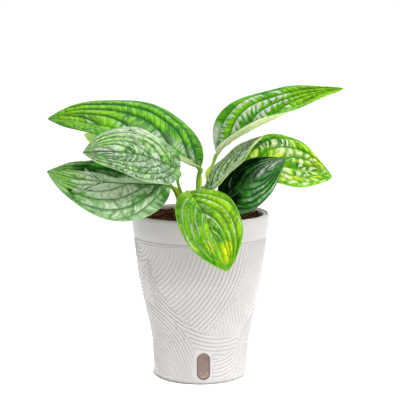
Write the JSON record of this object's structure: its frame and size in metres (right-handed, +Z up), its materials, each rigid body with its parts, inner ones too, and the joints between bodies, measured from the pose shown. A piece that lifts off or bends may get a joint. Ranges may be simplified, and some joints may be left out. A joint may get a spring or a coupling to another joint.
{
  "type": "potted monstera peru",
  "caption": "Potted foliage plant with quilted pointed leaves on short stems, in a tapered ridged self-watering pot with a water window.",
  "frame": {"origin": "centre of the pot's flat bottom", "axes": "+Z up along the pot's axis, -Y towards the side with the water window, +X to the right as seen from that side"},
  "size_m": [0.2786, 0.1588, 0.2759],
  "materials": {
    "pot_plastic": "off-white moulded plastic, satin",
    "window_plastic": "smoky clear plastic",
    "inner_plastic": "plain off-white moulded plastic",
    "soil": "moist crumbly potting soil",
    "stem": "smooth green stem",
    "petiole": "smooth green leaf stalk",
    "leaf": "glossy quilted leaf, pale between the veins",
    "leaf_silver": "glossy quilted leaf, silvery between the veins",
    "leaf_light": "glossy yellow-green leaf",
    "leaf_dark": "glossy dark green leaf"
  },
  "bodies": {
    "root": {"pot": "pot_plastic", "water_window": "window_plastic", "inner_pot": "inner_plastic", "soil": "soil", "stem_left": "stem", "stem_middle": "stem", "stem_right": "stem", "petiole_left_top": "petiole", "petiole_left_middle": "petiole", "petiole_left_low": "petiole", "petiole_left_back": "petiole", "petiole_front": "petiole", "petiole_right_top": "petiole", "petiole_right_far": "petiole", "petiole_right_near": "petiole", "petiole_young": "petiole", "leaf_left_top": "leaf", "leaf_left_middle": "leaf_silver", "leaf_left_low": "leaf_silver", "leaf_left_back": "leaf_light", "leaf_front": "leaf", "leaf_right_top": "leaf", "leaf_right_far": "leaf_light", "leaf_right_near": "leaf_dark", "leaf_young": "leaf_silver"}
  },
  "joints": []
}
